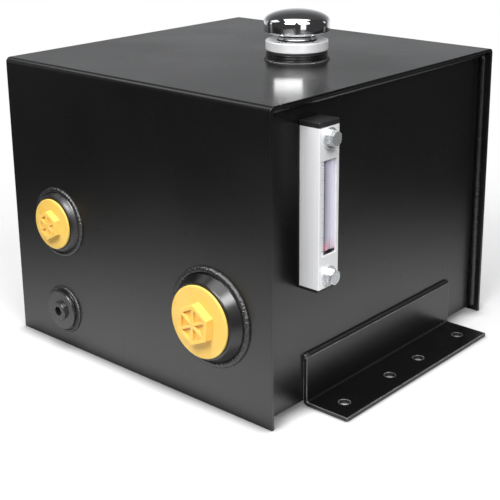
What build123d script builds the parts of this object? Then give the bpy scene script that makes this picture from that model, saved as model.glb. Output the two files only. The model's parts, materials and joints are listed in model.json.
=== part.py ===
"""Hydraulic reservoir: a folded steel oil tank on two mounting angles.

The frame has its origin on the floor, at the centre of the tank's footprint.
+X points to the end that carries the sight gauge, -Y to the port face, +Z up.
Every size is in millimetres.
"""
from build123d import *
import math
import os

# ---------------------------------------------------------------- tank
TANK_WIDTH = 355.0
TANK_DEPTH = 355.0
TANK_HEIGHT = 296.0
SHEET = 3.0
BEND_RADIUS = 5.0
END_RECESS = 10.0
BOTTOM_RAISE = 5.0
SEAM_WELD = 6.0
BAFFLE_X = 8.0
BAFFLE_HEIGHT = 190.0
BAFFLE_NOTCH_WIDTH = 60.0
BAFFLE_NOTCH_HEIGHT = 35.0

# ---------------------------------------------------------------- mounting angles
ANGLE_LENGTH = 242.0
ANGLE_LEG = 49.0
ANGLE_FLANGE = 51.0
ANGLE_SHEET = 4.0
ANGLE_OUTER_RADIUS = 5.0
ANGLE_INNER_RADIUS = 2.0
ANGLE_WELD = 3.0
FOOT_HOLE_RADIUS = 5.5
FOOT_HOLE_X = TANK_WIDTH / 2 + 20.5
FOOT_HOLE_SPACINGS = (196.0, 50.0)

# ---------------------------------------------------------------- ports on the front face
# Each port: place on the face, bung cone, plug disc and shank.
SUCTION = dict(name="suction", x=104.5, z=90.0, base_radius=43.0, face_radius=36.0, stand=13.3,
               spigot_radius=38.0, bore_radius=30.3, disc_radius=34.7, disc_thickness=2.4,
               shank_radius=29.9, shank_length=17.0, weld=4.0,
               boss_radius=20.6, boss_height=8.6, boss_turn=26)
RETURN = dict(name="return", x=-107.0, z=135.0, base_radius=32.0, face_radius=27.0, stand=7.6,
              spigot_radius=27.5, bore_radius=21.3, disc_radius=26.0, disc_thickness=2.1,
              shank_radius=20.9, shank_length=15.0, weld=3.0,
              boss_radius=15.5, boss_height=6.5, boss_turn=30)
DRAIN = dict(name="drain", x=-107.0, z=39.5, base_radius=22.0, face_radius=20.8, stand=2.2,
             spigot_radius=21.0, bore_radius=16.9, disc_radius=20.9, disc_thickness=2.6,
             shank_radius=16.5, shank_length=12.0, weld=2.3)
PORTS = (SUCTION, RETURN, DRAIN)
SPIGOT_LENGTH = 12.0
SPIGOT_GAP = 0.2
PLUG_SEAL = 0.6
DRAIN_SEAL = 0.9
BOSS_RIB = 1.5
BOSS_WALL = 2.6
DRAIN_NUB_RADIUS = 10.0
DRAIN_NUB_HEIGHT = 3.4
DRAIN_SOCKET_ACROSS_CORNERS = 11.0
DRAIN_SOCKET_DEPTH = 7.0

# ---------------------------------------------------------------- filler, heights above the deck
FILLER_X = 56.5
FILLER_Y = 3.0
RISER_RADIUS = 30.9
RISER_BORE_RADIUS = 21.0
RISER_TOP = 7.7
RISER_GROOVE_HEIGHTS = (2.6, 5.4)
RISER_GROOVE = 0.6
GASKET_TOP = 9.7
GASKET_RADIUS = 30.2
FLANGE_TOP = 19.5
FLANGE_RADIUS = 31.3
FLANGE_CHAMFER = 0.8
NECK_RADIUS = 17.0
NECK_TOP = 22.4
NECK_BORE_RADIUS = 15.2
NECK_THROAT_RADIUS = 13.4
NECK_SHOULDER = 13.0
NECK_LIP_RADIUS = 19.4
NECK_GAP = 0.2
GROOVE_RADIUS = 20.0
GROOVE_FLOOR = 15.5
NECK_SEAL_TOP = 18.2
SCREW_CIRCLE_RADIUS = 25.2
SCREW_FIRST_ANGLE = -4.0
SCREW_COUNT = 4
SCREW_RADIUS = 2.4
SCREW_HOLE_RADIUS = 2.7
SCREW_HEAD_RADIUS = 4.3
SCREW_HEAD_DEPTH = 3.0
SCREW_END = 2.0
STRAINER_RADIUS = 13.0
STRAINER_WALL = 0.8
STRAINER_BOTTOM = -88.0
STRAINER_RIM_RADIUS = 14.9
STRAINER_ROWS = 7
STRAINER_COLUMNS = 6
STRAINER_HOLE_RADIUS = 1.8

# ---------------------------------------------------------------- breather cap, heights above the deck
CAP_RADIUS = 33.0
CAP_SHEET = 1.0
CAP_SIDE_BOTTOM = 28.6
CAP_SIDE_TOP = 38.0
CAP_APEX = 49.5
CAP_RIM_BOTTOM = 20.5
CAP_RIM_RADIUS = 20.0
CAP_BASE_RADIUS = 31.7
CAP_BASE_TOP = 27.0
CAP_BOWL_TOP = 28.9
CAP_SOCKET_RADIUS = 17.5
CAP_ROOF_BOTTOM = 23.4
CAP_ROOF_TOP = 25.0
CAP_SEAL_RADIUS = 19.7
FOAM_INNER_RADIUS = 19.0
FOAM_OUTER_RADIUS = 26.5
FOAM_HEIGHT = 8.0
STUD_RADIUS = 3.0

# ---------------------------------------------------------------- sight gauge on the right end
GAUGE_Y = -114.0
GAUGE_WIDTH = 28.0
GAUGE_FRONT = 22.5
GAUGE_BOTTOM = 122.5
GAUGE_TOP = 270.2
GAUGE_WALL = 2.2
GAUGE_BACK_GAP = 0.5
GAUGE_TOP_CAP = 5.0
GAUGE_BOTTOM_CAP = 3.0
GAUGE_BOTTOM_CAP_INSET = 1.5
GAUGE_BOLT_SPACING = 127.0
GAUGE_BOLT_MIDDLE = 196.5
GAUGE_BOLT_RADIUS = 4.0
GAUGE_BOLT_HOLE_RADIUS = 4.3
GAUGE_WASHER_RADIUS = 9.6
GAUGE_WASHER = 1.8
GAUGE_HEAD_RADIUS = 7.5
GAUGE_HEAD = 6.4
GAUGE_NUT = 6.5
GAUGE_SEAL = 2.0
GAUGE_SEAL_RADIUS = 10.0
GAUGE_BLOCK_HEIGHT = 28.0
GAUGE_BLOCK_GAP = 0.2
WINDOW_HALF_WIDTH = 10.4
WINDOW_BOTTOM = 153.0
WINDOW_TOP = 240.5
WINDOW_CORNER = 1.0
TUBE_RADIUS = 6.0
TUBE_BORE_RADIUS = 4.6
TUBE_OFFSET = 1.8
TUBE_SETBACK = 3.2
SCALE_WIDTH = 6.9
SCALE_THICKNESS = 0.8
LENS_THICKNESS = 2.6
LENS_RIDGE_WIDTH = 5.4
LENS_GROOVE = 0.9
LENS_RISE = 3.5
THERMOMETER_RADIUS = 1.2
THERMOMETER_BORE_RADIUS = 0.6
THERMOMETER_GAP = 0.2
THERMOMETER_BULB_LENGTH = 7.0

FRONT = -TANK_DEPTH / 2
BACK = TANK_DEPTH / 2
END_FACE = TANK_WIDTH / 2 - END_RECESS
DECK = TANK_HEIGHT
FLOOR_TOP = BOTTOM_RAISE + SHEET


def block(x_low, x_high, y_low, y_high, z_low, z_high):
    """A box between two corners."""
    size = (x_high - x_low, y_high - y_low, z_high - z_low)
    middle = ((x_low + x_high) / 2, (y_low + y_high) / 2, (z_low + z_high) / 2)
    return Pos(*middle) * Box(*size)


def ring(outer_radius, inner_radius, z_low, z_high):
    """A washer shape about +Z."""
    height = z_high - z_low
    solid = Pos(0, 0, z_low) * Cylinder(outer_radius, height, align=(Align.CENTER, Align.CENTER, Align.MIN))
    if inner_radius > 0:
        hole = Pos(0, 0, z_low - 1) * Cylinder(
            inner_radius, height + 2, align=(Align.CENTER, Align.CENTER, Align.MIN))
        solid = solid - hole
    return solid


def turned(points):
    """A solid of revolution about +Z from an outline of (radius, height) points."""
    wire = Polyline(*[(radius, 0, height) for radius, height in points], close=True)
    return revolve(make_face(wire), Axis.Z)


def hexagon(corner_radius, z_low, z_high, turn=0):
    """A hexagonal prism about +Z with its first corner turned from +X."""
    outline = Pos(0, 0, z_low) * RegularPolygon(corner_radius, 6, rotation=turn)
    return extrude(outline, amount=z_high - z_low, dir=(0, 0, 1))


def onto_front(solid, port):
    """Stand a solid made about +Z on the front face, so that its +Z points out along -Y."""
    return Pos(port["x"], FRONT, port["z"]) * Rot(90, 0, 0) * solid


def onto_filler(solid):
    """Move a solid made about +Z, in heights above the deck, to the filler's axis."""
    return Pos(FILLER_X, FILLER_Y, DECK) * solid


def onto_gauge_bolt(solid, z):
    """Turn a solid made about +Z so that its +Z points out along +X from the end panel."""
    return Pos(END_FACE, GAUGE_Y, z) * Rot(0, 90, 0) * solid


def gauge_bolt_heights():
    return [GAUGE_BOLT_MIDDLE + side * GAUGE_BOLT_SPACING / 2 for side in (-1, 1)]


# ---------------------------------------------------------------- tank shell
def tank_wrapper():
    """One folded sheet: front plate, deck and back plate, with its port and filler holes."""
    outer = block(-TANK_WIDTH / 2, TANK_WIDTH / 2, FRONT, BACK, 0, DECK)
    outer = fillet(outer.edges().filter_by(Axis.X).group_by(Axis.Z)[-1], BEND_RADIUS)
    inner = block(-TANK_WIDTH, TANK_WIDTH, FRONT + SHEET, BACK - SHEET, -1, DECK - SHEET)
    inner = fillet(inner.edges().filter_by(Axis.X).group_by(Axis.Z)[-1], BEND_RADIUS - SHEET)
    shell = outer - inner
    for port in PORTS:
        hole = Cylinder(port["spigot_radius"] + SPIGOT_GAP, 4 * SHEET)
        shell = shell - onto_front(hole, port)
    return shell - onto_filler(Cylinder(RISER_BORE_RADIUS, 4 * SHEET))


def end_panel(side):
    """The end plate, let in from the wrapper's edge; side is +1 right or -1 left."""
    x_low, x_high = sorted((side * END_FACE, side * (END_FACE - SHEET)))
    panel = block(x_low, x_high, FRONT + SHEET, BACK - SHEET, FLOOR_TOP, DECK - SHEET)
    panel = fillet(panel.edges().filter_by(Axis.X).group_by(Axis.Z)[-1], BEND_RADIUS - SHEET)
    if side > 0:
        for z in gauge_bolt_heights():
            panel = panel - onto_gauge_bolt(Cylinder(GAUGE_BOLT_HOLE_RADIUS, 4 * SHEET), z)
    return panel


def end_seam_weld(side):
    """The fillet bead that runs up the front, across the deck and down the back of an end panel."""
    x_low, x_high = sorted((side * END_FACE, side * (END_FACE + SEAM_WELD)))
    outer = block(x_low, x_high, FRONT + SHEET, BACK - SHEET, FLOOR_TOP, DECK - SHEET)
    outer = fillet(outer.edges().filter_by(Axis.X).group_by(Axis.Z)[-1], BEND_RADIUS - SHEET)
    inner = block(x_low - 1, x_high + 1, FRONT + SHEET + SEAM_WELD, BACK - SHEET - SEAM_WELD,
                  0, DECK - SHEET - SEAM_WELD)
    bead = outer - inner
    face_side = bead.edges().filter_by_position(Axis.X, side * (END_FACE + SEAM_WELD) - 0.01,
                                                side * (END_FACE + SEAM_WELD) + 0.01)
    inside = [edge for edge in face_side if edge.length > 50 and
              abs(edge.center().Y) < BACK - SHEET - 1 and edge.center().Z < DECK - SHEET - 1]
    return chamfer(inside, 0.7 * SEAM_WELD)


def bottom_plate():
    """The tank's floor, raised clear of the surface it stands on."""
    return block(-END_FACE, END_FACE, FRONT + SHEET, BACK - SHEET, BOTTOM_RAISE, FLOOR_TOP)


def baffle_plate():
    """The plate that keeps returned oil away from the suction port, notched at both bottom corners."""
    plate = block(BAFFLE_X - SHEET / 2, BAFFLE_X + SHEET / 2, FRONT + SHEET, BACK - SHEET,
                  FLOOR_TOP, FLOOR_TOP + BAFFLE_HEIGHT)
    for side in (-1, 1):
        y_low, y_high = sorted((side * (BACK - SHEET - BAFFLE_NOTCH_WIDTH), side * (BACK + 1)))
        plate = plate - block(BAFFLE_X - SHEET, BAFFLE_X + SHEET, y_low, y_high,
                              FLOOR_TOP - 1, FLOOR_TOP + BAFFLE_NOTCH_HEIGHT)
    return plate


# ---------------------------------------------------------------- mounting angles
def mounting_angle(side):
    """A bent angle with its leg on the end panel and its flange flat on the floor."""
    outer = block(END_FACE, END_FACE + ANGLE_FLANGE, -ANGLE_LENGTH / 2, ANGLE_LENGTH / 2, 0, ANGLE_LEG)
    cut = block(END_FACE + ANGLE_SHEET, END_FACE + 2 * ANGLE_FLANGE, -ANGLE_LENGTH, ANGLE_LENGTH,
                ANGLE_SHEET, 2 * ANGLE_LEG)
    inner_corner = cut.edges().filter_by(Axis.Y).sort_by(Axis.X)[:2].sort_by(Axis.Z)[0]
    cut = fillet(inner_corner, ANGLE_INNER_RADIUS)
    angle = outer - cut
    corner = angle.edges().filter_by(Axis.Y).filter_by_position(Axis.Z, -0.01, 0.01).sort_by(Axis.X)[0]
    angle = fillet(corner, ANGLE_OUTER_RADIUS)
    for spacing in FOOT_HOLE_SPACINGS:
        for end in (-1, 1):
            hole = Cylinder(FOOT_HOLE_RADIUS, 4 * ANGLE_SHEET)
            angle = angle - Pos(FOOT_HOLE_X, end * spacing / 2, 0) * hole
    return angle if side > 0 else mirror(angle, Plane.YZ)


def angle_weld(side):
    """The bead along the top of an angle's leg."""
    points = [(END_FACE, ANGLE_LEG), (END_FACE + 0.9 * ANGLE_SHEET, ANGLE_LEG),
              (END_FACE + 0.6 * ANGLE_WELD, ANGLE_LEG + 0.55 * ANGLE_WELD),
              (END_FACE, ANGLE_LEG + ANGLE_WELD)]
    wire = Polyline(*[(x, -ANGLE_LENGTH / 2 + 1, z) for x, z in points], close=True)
    bead = extrude(make_face(wire), amount=ANGLE_LENGTH - 2, dir=(0, 1, 0))
    return bead if side > 0 else mirror(bead, Plane.YZ)


# ---------------------------------------------------------------- ports and plugs
def port_bung(port):
    """A weld-in bung: a cone outside the sheet and a spigot through it, bored for the plug."""
    base, face, stand = port["base_radius"], port["face_radius"], port["stand"]
    land = min(1.5, stand / 3)
    points = [(port["bore_radius"], -SPIGOT_LENGTH), (port["spigot_radius"], -SPIGOT_LENGTH),
              (port["spigot_radius"], 0), (base, 0), (base, land), (face + 1.0, stand - 0.5 * land),
              (face, stand), (port["bore_radius"], stand)]
    return onto_front(turned(points), port)


def bung_weld(port):
    """The fillet bead round a bung's base."""
    inner, leg = port["base_radius"] + 0.05, port["weld"]
    rise = min(leg, 0.6 * port["stand"])
    points = [(inner, 0), (inner + leg, 0), (inner + 0.62 * leg, 0.5 * rise), (inner, rise)]
    return onto_front(turned(points), port)


def seal_thickness(port):
    return DRAIN_SEAL if port is DRAIN else PLUG_SEAL


def plug_seal(port):
    """The flat ring between a plug's disc and its bung."""
    low = port["stand"]
    seal = ring(port["disc_radius"] - 0.6, port["shank_radius"] + 0.3, low, low + seal_thickness(port))
    return onto_front(seal, port)


def plug_body(port):
    """The turned disc and hollow shank that every plug has, up to the disc's outer face."""
    low = port["stand"] + seal_thickness(port)
    top = low + port["disc_thickness"]
    rim = port["disc_radius"]
    shank, end = port["shank_radius"], low - port["shank_length"]
    wall = 3.0
    outline = [(0, low + 0.4), (shank - wall, low + 0.4), (shank - wall, end), (shank, end), (shank, low),
               (rim, low), (rim, top - 0.8), (rim - 0.8, top), (0, top)]
    return turned(outline), top


def moulded_plug(port):
    """A moulded thread plug: disc, shank and a raised hexagon cut into six pockets by three ribs."""
    body, top = plug_body(port)
    radius, height, turn = port["boss_radius"], port["boss_height"], port["boss_turn"]
    body = body + hexagon(radius, top - 0.5, top + height, turn)
    pocket = hexagon(radius - BOSS_WALL, top, top + 2 * height, turn)
    for rib in range(3):
        wall = Rot(0, 0, turn + 60 * rib) * Box(4 * radius, BOSS_RIB, 5 * height)
        pocket = pocket - Pos(0, 0, top) * wall
    for triangle in pocket.solids():
        body = body - triangle
    return onto_front(body, port)


def drain_plug(port):
    """A collar plug with a central nub and a hexagon socket."""
    body, top = plug_body(port)
    nub_top = top + DRAIN_NUB_HEIGHT
    nub = turned([(0, top - 0.5), (DRAIN_NUB_RADIUS, top - 0.5), (DRAIN_NUB_RADIUS, nub_top - 1),
                  (DRAIN_NUB_RADIUS - 1, nub_top), (0, nub_top)])
    core = ring(DRAIN_NUB_RADIUS, 0, top - DRAIN_SOCKET_DEPTH, top - 0.5)
    socket = hexagon(DRAIN_SOCKET_ACROSS_CORNERS / 2, nub_top - DRAIN_SOCKET_DEPTH, nub_top + 1)
    return onto_front(body + core + nub - socket, port)


# ---------------------------------------------------------------- filler
def screw_places():
    """The four flange screws' axes, as turned positions about the filler."""
    step = 360 / SCREW_COUNT
    return [Rot(0, 0, SCREW_FIRST_ANGLE + step * place) * Pos(SCREW_CIRCLE_RADIUS, 0, 0)
            for place in range(SCREW_COUNT)]


def filler_riser():
    """The ring welded to the deck that carries the flange, tapped for its screws."""
    riser = ring(RISER_RADIUS, RISER_BORE_RADIUS, 0, RISER_TOP)
    for height in RISER_GROOVE_HEIGHTS:
        riser = riser - ring(RISER_RADIUS + 1, RISER_RADIUS - RISER_GROOVE, height, height + RISER_GROOVE)
    for place in screw_places():
        riser = riser - place * ring(SCREW_RADIUS + 0.1, 0, SCREW_END - 1, RISER_TOP + 1)
    return onto_filler(riser)


def filler_riser_weld():
    """The small bead round the riser's foot."""
    inner = RISER_RADIUS + 0.05
    return onto_filler(turned([(inner, 0), (inner + 2.0, 0), (inner + 1.2, 1.1), (inner, 1.9)]))


def flange_gasket():
    gasket = ring(GASKET_RADIUS, NECK_LIP_RADIUS + 0.4, RISER_TOP, GASKET_TOP)
    for place in screw_places():
        gasket = gasket - place * Pos(0, 0, GASKET_TOP) * Cylinder(SCREW_HOLE_RADIUS, 3 * GASKET_TOP)
    return onto_filler(gasket)


def filler_flange():
    """The turned aluminium flange, with a seal groove round the neck and four screw seats."""
    bore = NECK_RADIUS + NECK_GAP
    flange = turned([(bore, GASKET_TOP), (FLANGE_RADIUS - FLANGE_CHAMFER, GASKET_TOP),
                     (FLANGE_RADIUS, GASKET_TOP + FLANGE_CHAMFER),
                     (FLANGE_RADIUS, FLANGE_TOP - FLANGE_CHAMFER),
                     (FLANGE_RADIUS - FLANGE_CHAMFER, FLANGE_TOP), (GROOVE_RADIUS, FLANGE_TOP),
                     (GROOVE_RADIUS, GROOVE_FLOOR), (bore, GROOVE_FLOOR)])
    for place in screw_places():
        flange = flange - place * Pos(0, 0, FLANGE_TOP) * Cylinder(SCREW_HOLE_RADIUS, 3 * FLANGE_TOP)
        seat = ring(SCREW_HEAD_RADIUS + 0.3, 0, FLANGE_TOP - SCREW_HEAD_DEPTH, FLANGE_TOP + 1)
        flange = flange - place * seat
    return onto_filler(flange)


def flange_screws():
    """Four socket screws, sunk in the flange and reaching into the riser."""
    screw = ring(SCREW_HEAD_RADIUS, 0, FLANGE_TOP - SCREW_HEAD_DEPTH, FLANGE_TOP - 0.2)
    screw = screw + ring(SCREW_RADIUS, 0, SCREW_END, FLANGE_TOP - SCREW_HEAD_DEPTH)
    screw = screw - hexagon(2.3, FLANGE_TOP - SCREW_HEAD_DEPTH + 0.8, FLANGE_TOP + 1)
    return Compound([onto_filler(place * screw) for place in screw_places()])


def filler_neck():
    """The turned collar that the cap sits on, held down by its lip under the flange."""
    lip_low = RISER_TOP + 0.1
    return onto_filler(turned([
        (NECK_THROAT_RADIUS, 0.5), (NECK_RADIUS, 0.5), (NECK_RADIUS, lip_low), (NECK_LIP_RADIUS, lip_low),
        (NECK_LIP_RADIUS, GASKET_TOP), (NECK_RADIUS, GASKET_TOP), (NECK_RADIUS, NECK_TOP - 0.6),
        (NECK_RADIUS - 0.6, NECK_TOP), (NECK_BORE_RADIUS + 0.7, NECK_TOP),
        (NECK_BORE_RADIUS, NECK_TOP - 0.9),
        (NECK_BORE_RADIUS, NECK_SHOULDER), (NECK_THROAT_RADIUS, NECK_SHOULDER)]))


def neck_seal():
    """The rubber ring that fills the groove between flange and neck."""
    return onto_filler(ring(GROOVE_RADIUS - 0.05, NECK_RADIUS + 0.1, GROOVE_FLOOR, NECK_SEAL_TOP))


def strainer_basket():
    """A perforated tube hung by its rim from the neck's shoulder."""
    inner = STRAINER_RADIUS - STRAINER_WALL
    rim_low, rim_high = NECK_SHOULDER, NECK_SHOULDER + STRAINER_WALL
    basket = turned([(inner, STRAINER_BOTTOM), (STRAINER_RADIUS, STRAINER_BOTTOM), (STRAINER_RADIUS, rim_low),
                     (STRAINER_RIM_RADIUS, rim_low), (STRAINER_RIM_RADIUS, rim_high), (inner, rim_high)])
    step = (-STRAINER_BOTTOM - 24) / STRAINER_ROWS
    holes = []
    for row in range(STRAINER_ROWS):
        for column in range(STRAINER_COLUMNS):
            turn = 180 * (column + 0.5 * (row % 2)) / STRAINER_COLUMNS
            height = STRAINER_BOTTOM + 10 + step * row
            holes.append(Pos(0, 0, height) * Rot(0, 0, turn) * Rot(0, 90, 0)
                         * Cylinder(STRAINER_HOLE_RADIUS, 4 * STRAINER_RADIUS))
    return onto_filler(basket - holes)


def strainer_floor():
    return onto_filler(ring(STRAINER_RADIUS, 0, STRAINER_BOTTOM - STRAINER_WALL, STRAINER_BOTTOM))


# ---------------------------------------------------------------- breather cap
def dome_outline(radius, side_bottom, side_top, apex):
    """Half the section of a straight-sided cup with an elliptical dome, closed on the axis."""
    angles = [math.radians(angle) for angle in range(0, 91, 15)]
    rise = apex - side_top
    side = Line((radius, 0, side_bottom), (radius, 0, side_top))
    dome = Spline([(radius * math.cos(angle), 0, side_top + rise * math.sin(angle)) for angle in angles],
                  tangents=[(0, 0, 1), (-1, 0, 0)])
    centre = Line((0, 0, apex), (0, 0, side_bottom))
    base = Line((0, 0, side_bottom), (radius, 0, side_bottom))
    return make_face(Curve() + [side, dome, centre, base])


def cap_shell():
    """The pressed and plated dome."""
    outer = revolve(dome_outline(CAP_RADIUS, CAP_SIDE_BOTTOM, CAP_SIDE_TOP, CAP_APEX), Axis.Z)
    inner = revolve(dome_outline(CAP_RADIUS - CAP_SHEET, CAP_SIDE_BOTTOM - 1, CAP_SIDE_TOP,
                                 CAP_APEX - CAP_SHEET), Axis.Z)
    return onto_filler(outer - inner)


def cap_base():
    """The cap's underside: a socket over the neck that flares out to the dome's hem."""
    return onto_filler(turned([
        (CAP_SOCKET_RADIUS, CAP_RIM_BOTTOM), (CAP_RIM_RADIUS - 0.4, CAP_RIM_BOTTOM),
        (CAP_RIM_RADIUS, CAP_RIM_BOTTOM + 0.4), (CAP_RIM_RADIUS + 0.3, 22.0), (CAP_RIM_RADIUS + 1.6, 23.4),
        (CAP_RIM_RADIUS + 4.6, 24.9), (CAP_RIM_RADIUS + 8.4, 26.7), (CAP_BASE_RADIUS, CAP_BOWL_TOP),
        (CAP_BASE_RADIUS, CAP_BOWL_TOP + CAP_SHEET), (FOAM_OUTER_RADIUS + 0.5, CAP_BASE_TOP),
        (CAP_SOCKET_RADIUS + 1, CAP_BASE_TOP), (STUD_RADIUS + 0.1, CAP_ROOF_TOP),
        (STUD_RADIUS + 0.1, CAP_ROOF_BOTTOM), (CAP_SOCKET_RADIUS, CAP_ROOF_BOTTOM)]))


def cap_seal():
    """The thin ring under the cap's rim, which the cap turns on."""
    return onto_filler(ring(CAP_SEAL_RADIUS, CAP_SOCKET_RADIUS, FLANGE_TOP, CAP_RIM_BOTTOM))


def breather_foam():
    return onto_filler(ring(FOAM_OUTER_RADIUS, FOAM_INNER_RADIUS, CAP_BASE_TOP, CAP_BASE_TOP + FOAM_HEIGHT))


def cap_stud():
    """The stud that ties the dome to the base, headed inside the socket."""
    top = CAP_APEX - CAP_SHEET - 0.2
    head = STUD_RADIUS + 2
    low = CAP_ROOF_BOTTOM - 0.8
    return onto_filler(turned([(0, low), (head, low), (head, CAP_ROOF_BOTTOM), (STUD_RADIUS, CAP_ROOF_BOTTOM),
                               (STUD_RADIUS, top), (0, top)]))


# ---------------------------------------------------------------- sight gauge
def gauge_block_span(low_end):
    """Heights of an end block; low_end picks the lower one."""
    if low_end:
        return GAUGE_BOTTOM, GAUGE_BOTTOM + GAUGE_BLOCK_HEIGHT
    return GAUGE_TOP - GAUGE_BLOCK_HEIGHT, GAUGE_TOP


def tube_axis():
    """The level tube's centre in the gauge, as x and y."""
    x = END_FACE + GAUGE_FRONT - GAUGE_WALL - TUBE_RADIUS - TUBE_SETBACK
    return x, GAUGE_Y + TUBE_OFFSET


def behind_window():
    """How far the pieces just behind the window reach, as x, and the span in z between the end blocks."""
    x_high = END_FACE + GAUGE_FRONT - GAUGE_WALL - 0.2
    return x_high, gauge_block_span(True)[1] + 0.3, gauge_block_span(False)[0] - 0.3


def scale_side():
    """The y of the scale's inner edge."""
    return GAUGE_Y - GAUGE_WIDTH / 2 + GAUGE_WALL + 0.3 + SCALE_WIDTH


def thermometer_axis():
    """The thermometer's centre, between the scale and the lens, as x and y."""
    return behind_window()[0] - THERMOMETER_RADIUS, scale_side() + THERMOMETER_GAP + THERMOMETER_RADIUS


def gauge_housing():
    """The aluminium channel with its window and two bolt holes."""
    x_low, x_high = END_FACE + GAUGE_BACK_GAP, END_FACE + GAUGE_FRONT
    half = GAUGE_WIDTH / 2
    outer = block(x_low, x_high, GAUGE_Y - half, GAUGE_Y + half, GAUGE_BOTTOM, GAUGE_TOP)
    outer = fillet(outer.edges().filter_by(Axis.Z).group_by(Axis.X)[-1], 0.8)
    inner = block(x_low - 1, x_high - GAUGE_WALL, GAUGE_Y - half + GAUGE_WALL, GAUGE_Y + half - GAUGE_WALL,
                  GAUGE_BOTTOM - 1, GAUGE_TOP + 1)
    window = block(x_high - 2 * GAUGE_WALL, x_high + 1, GAUGE_Y - WINDOW_HALF_WIDTH,
                   GAUGE_Y + WINDOW_HALF_WIDTH, WINDOW_BOTTOM, WINDOW_TOP)
    window = fillet(window.edges().filter_by(Axis.X), WINDOW_CORNER)
    housing = outer - inner - window
    for z in gauge_bolt_heights():
        housing = housing - onto_gauge_bolt(ring(GAUGE_BOLT_HOLE_RADIUS, 0, 5, 2 * GAUGE_FRONT), z)
    return housing


def gauge_block(low_end):
    """A clear end block that seats the level tube and passes one bolt."""
    half = GAUGE_WIDTH / 2 - GAUGE_WALL - GAUGE_BLOCK_GAP
    z_low, z_high = gauge_block_span(low_end)
    solid = block(END_FACE + GAUGE_SEAL, END_FACE + GAUGE_FRONT - GAUGE_WALL - GAUGE_BLOCK_GAP,
                  GAUGE_Y - half, GAUGE_Y + half, z_low, z_high)
    bolt_z = gauge_bolt_heights()[0 if low_end else 1]
    solid = solid - onto_gauge_bolt(ring(GAUGE_BOLT_HOLE_RADIUS, 0, -5, 2 * GAUGE_FRONT), bolt_z)
    x, y = tube_axis()
    seat_low, seat_high = (z_high - 6, z_high + 1) if low_end else (z_low - 1, z_low + 6)
    return solid - Pos(x, y, 0) * ring(TUBE_RADIUS + 0.1, 0, seat_low, seat_high)


def tube_span():
    return gauge_block_span(True)[1] - 5.8, gauge_block_span(False)[0] + 5.8


def gauge_tube():
    """The clear level tube."""
    x, y = tube_axis()
    low, high = tube_span()
    return Pos(x, y, 0) * ring(TUBE_RADIUS, TUBE_BORE_RADIUS, low, high)


def thermometer_glass():
    """The thermometer's glass rod, above its bulb."""
    x, y = thermometer_axis()
    low, high = WINDOW_BOTTOM + LENS_RISE, behind_window()[2]
    rod = ring(THERMOMETER_RADIUS, THERMOMETER_BORE_RADIUS, low + THERMOMETER_BULB_LENGTH, high)
    return Pos(x, y, 0) * rod


def thermometer_spirit():
    """The bulb and the thread of red spirit above it."""
    x, y = thermometer_axis()
    low, high = WINDOW_BOTTOM + LENS_RISE, behind_window()[2]
    bulb_top = low + THERMOMETER_BULB_LENGTH
    thread = ring(THERMOMETER_BORE_RADIUS - 0.1, 0, bulb_top, bulb_top + 0.3 * (high - low))
    bulb = ring(THERMOMETER_RADIUS, 0, low, bulb_top)
    return Pos(x, y, 0) * (bulb + thread)


def gauge_scale():
    """The white scale strip at one side of the window."""
    x_high, low, high = behind_window()
    y_high = scale_side()
    return block(x_high - SCALE_THICKNESS, x_high, y_high - SCALE_WIDTH, y_high, low, high)


def gauge_lens():
    """The clear lens in front of the tube: a rounded ridge and a flat, with a groove between them."""
    x_high, _, high = behind_window()
    low = WINDOW_BOTTOM + LENS_RISE
    y_low = thermometer_axis()[1] + THERMOMETER_RADIUS + THERMOMETER_GAP
    y_high = GAUGE_Y + GAUGE_WIDTH / 2 - GAUGE_WALL - 0.2
    x_low, groove_y = x_high - LENS_THICKNESS, y_low + LENS_RIDGE_WIDTH
    groove = block(x_high - LENS_GROOVE, x_high + 1, groove_y, groove_y + LENS_GROOVE, low - 1, high + 1)
    lens = block(x_low, x_high, y_low, y_high, low, high) - groove
    uprights = lens.edges().filter_by(Axis.Z).group_by(Axis.X)[-1].sort_by(Axis.Y)
    return fillet(uprights[0:2], 0.8)


def gauge_end_cap(low_end):
    """A black cover over one end of the channel."""
    half = GAUGE_WIDTH / 2
    z_low = GAUGE_BOTTOM - GAUGE_BOTTOM_CAP if low_end else GAUGE_TOP
    z_high = GAUGE_BOTTOM if low_end else GAUGE_TOP + GAUGE_TOP_CAP
    inset = GAUGE_BOTTOM_CAP_INSET if low_end else 0.0
    cap = block(END_FACE + 0.3, END_FACE + GAUGE_FRONT - inset, GAUGE_Y - half, GAUGE_Y + half, z_low, z_high)
    cap = fillet(cap.edges().filter_by(Axis.Z).group_by(Axis.X)[-1], 1.5)
    outer_face = cap.faces().sort_by(Axis.Z)[0 if low_end else -1]
    return fillet(outer_face.edges(), 0.8)


def per_gauge_bolt(solid):
    """Two copies of a solid made about +Z from the end panel's face, one for each bolt."""
    return Compound([onto_gauge_bolt(solid, z) for z in gauge_bolt_heights()])


def gauge_bolts():
    seat = GAUGE_FRONT + GAUGE_WASHER
    head = hexagon(GAUGE_HEAD_RADIUS, seat, seat + GAUGE_HEAD)
    wide, head_top = GAUGE_HEAD_RADIUS + 0.1, seat + GAUGE_HEAD
    round_top = turned([(0, seat - 1), (wide, seat - 1), (wide, head_top - 0.7),
                        (GAUGE_HEAD_RADIUS - 1.2, head_top), (0, head_top)])
    shank = ring(GAUGE_BOLT_RADIUS, 0, -SHEET - GAUGE_NUT - 2, seat)
    return per_gauge_bolt((head & round_top) + shank)


def gauge_washers():
    seat = GAUGE_FRONT
    inner = GAUGE_BOLT_RADIUS + 0.2
    outer = GAUGE_WASHER_RADIUS
    return per_gauge_bolt(turned([(inner, seat), (outer, seat), (outer, seat + GAUGE_WASHER - 0.4),
                                  (outer - 0.4, seat + GAUGE_WASHER), (inner, seat + GAUGE_WASHER)]))


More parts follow.
